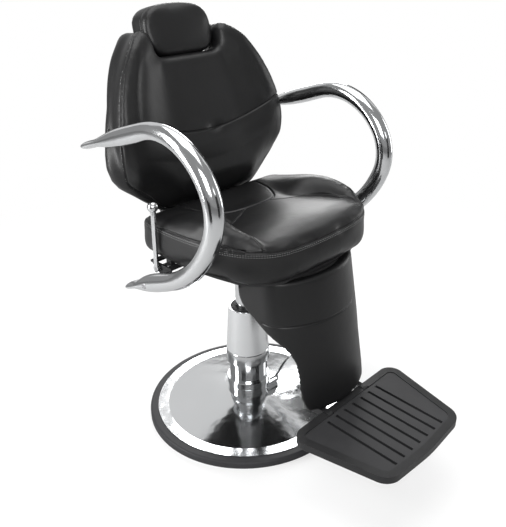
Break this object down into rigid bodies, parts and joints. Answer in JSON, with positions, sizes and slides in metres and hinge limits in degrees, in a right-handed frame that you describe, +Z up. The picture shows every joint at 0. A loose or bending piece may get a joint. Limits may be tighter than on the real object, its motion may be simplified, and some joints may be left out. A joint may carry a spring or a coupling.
{
  "type": "threading chair",
  "caption": "Padded reclining salon chair with notched headrest, looped metal arms, leg panel, ribbed footrest and a round hydraulic base.",
  "frame": {"origin": "on the floor under the swivel axis, at the centre of the base disc", "axes": "+Z is up, the sitter faces -Y, +X is the sitter's left"},
  "size_m": [0.6346, 0.8947, 1.0881],
  "materials": {
    "rubber": "satin",
    "iron": "matt",
    "chrome": "polished",
    "sleeve": "gloss",
    "black_steel": "satin",
    "steel": "satin",
    "seal": "matt",
    "bronze": "matt",
    "nylon": "matt",
    "plywood": "matt",
    "vinyl": "satin",
    "footrest_grey": "satin",
    "footrest_rib": "matt"
  },
  "bodies": {
    "base": {"rubber_ring": "rubber", "base_plate": "iron", "base_cover": "chrome", "pump_collar": "chrome", "collar_lip": "chrome", "pump_cylinder": "chrome", "pump_band": "chrome", "pump_sleeve": "sleeve", "guide_bush": "bronze", "wiper_seal": "seal", "pedal_bracket": "chrome", "pedal_pin": "steel"},
    "pedal": {"pedal_lever": "chrome", "pedal_pad": "rubber"},
    "plunger": {"pump_plunger": "steel"},
    "piston": {"piston_rod": "chrome", "piston_head": "steel", "swivel_washer": "nylon"},
    "seat": {"swivel_hub": "black_steel", "seat_plate": "black_steel", "seat_bolt_1": "steel", "seat_bolt_2": "steel", "seat_bolt_3": "steel", "seat_bolt_4": "steel", "seat_board": "plywood", "seat_cushion": "vinyl", "arm_left": "chrome", "arm_right": "chrome", "arm_screw_left": "steel", "arm_screw_right": "steel", "arm_mount_left": "black_steel", "arm_mount_right": "black_steel", "release_bearing_1": "black_steel", "release_bearing_2": "black_steel", "recline_bracket_left": "black_steel", "recline_bracket_right": "black_steel", "recline_shaft": "steel", "leg_panel_pad": "vinyl", "leg_panel_board": "plywood", "leg_frame": "black_steel", "footrest_bar": "steel"},
    "recline_lever": {"release_rod": "steel", "release_lever": "chrome", "release_knob": "chrome"},
    "backrest": {"backrest_cushion": "vinyl", "backrest_board": "plywood", "back_bar_left": "black_steel", "back_bar_right": "black_steel", "headrest_guide": "black_steel"},
    "headrest": {"headrest_cushion": "vinyl", "headrest_board": "plywood", "headrest_post_left": "steel", "headrest_post_right": "steel"},
    "footrest": {"footrest_tray": "footrest_grey", "footrest_tread": "footrest_rib"}
  },
  "joints": [
    {"name": "lift", "type": "slide", "parent": "base", "child": "piston", "axis": [0, 0, 1], "range_m": [-0.09, 0.1]},
    {"name": "swivel", "type": "hinge", "parent": "piston", "child": "seat", "pos_m": [0, 0, 0.424], "axis": [0, 0, 1], "continuous": true},
    {"name": "recline", "type": "hinge", "parent": "seat", "child": "backrest", "pos_m": [0, 0.148, 0.545], "axis": [-1, 0, 0], "range_deg": [0, 40]},
    {"name": "headrest_height", "type": "slide", "parent": "backrest", "child": "headrest", "axis": [0, 0.309, 0.9511], "range_m": [0, 0.06]},
    {"name": "footrest_fold", "type": "hinge", "parent": "seat", "child": "footrest", "pos_m": [0, -0.352, 0.174], "axis": [-1, 0, 0], "range_deg": [0, 65]},
    {"name": "pump_pedal", "type": "hinge", "parent": "base", "child": "pedal", "pos_m": [0.046, -0.048, 0.063], "axis": [0, 1, 0], "range_deg": [0, 12], "stiffness_Nm_per_rad": 15, "springref_deg": -11.46},
    {"name": "pump_stroke", "type": "slide", "parent": "base", "child": "plunger", "axis": [0, 0, -1], "range_m": [0, 0.0034]},
    {"name": "recline_release", "type": "hinge", "parent": "seat", "child": "recline_lever", "pos_m": [0, 0.04, 0.5045], "axis": [-1, 0, 0], "range_deg": [0, 12], "stiffness_Nm_per_rad": 8, "springref_deg": -11.46}
  ],
  "couplings": [
    {"joint": "pump_stroke", "follows": "pump_pedal", "m_per_rad": 0.016}
  ]
}
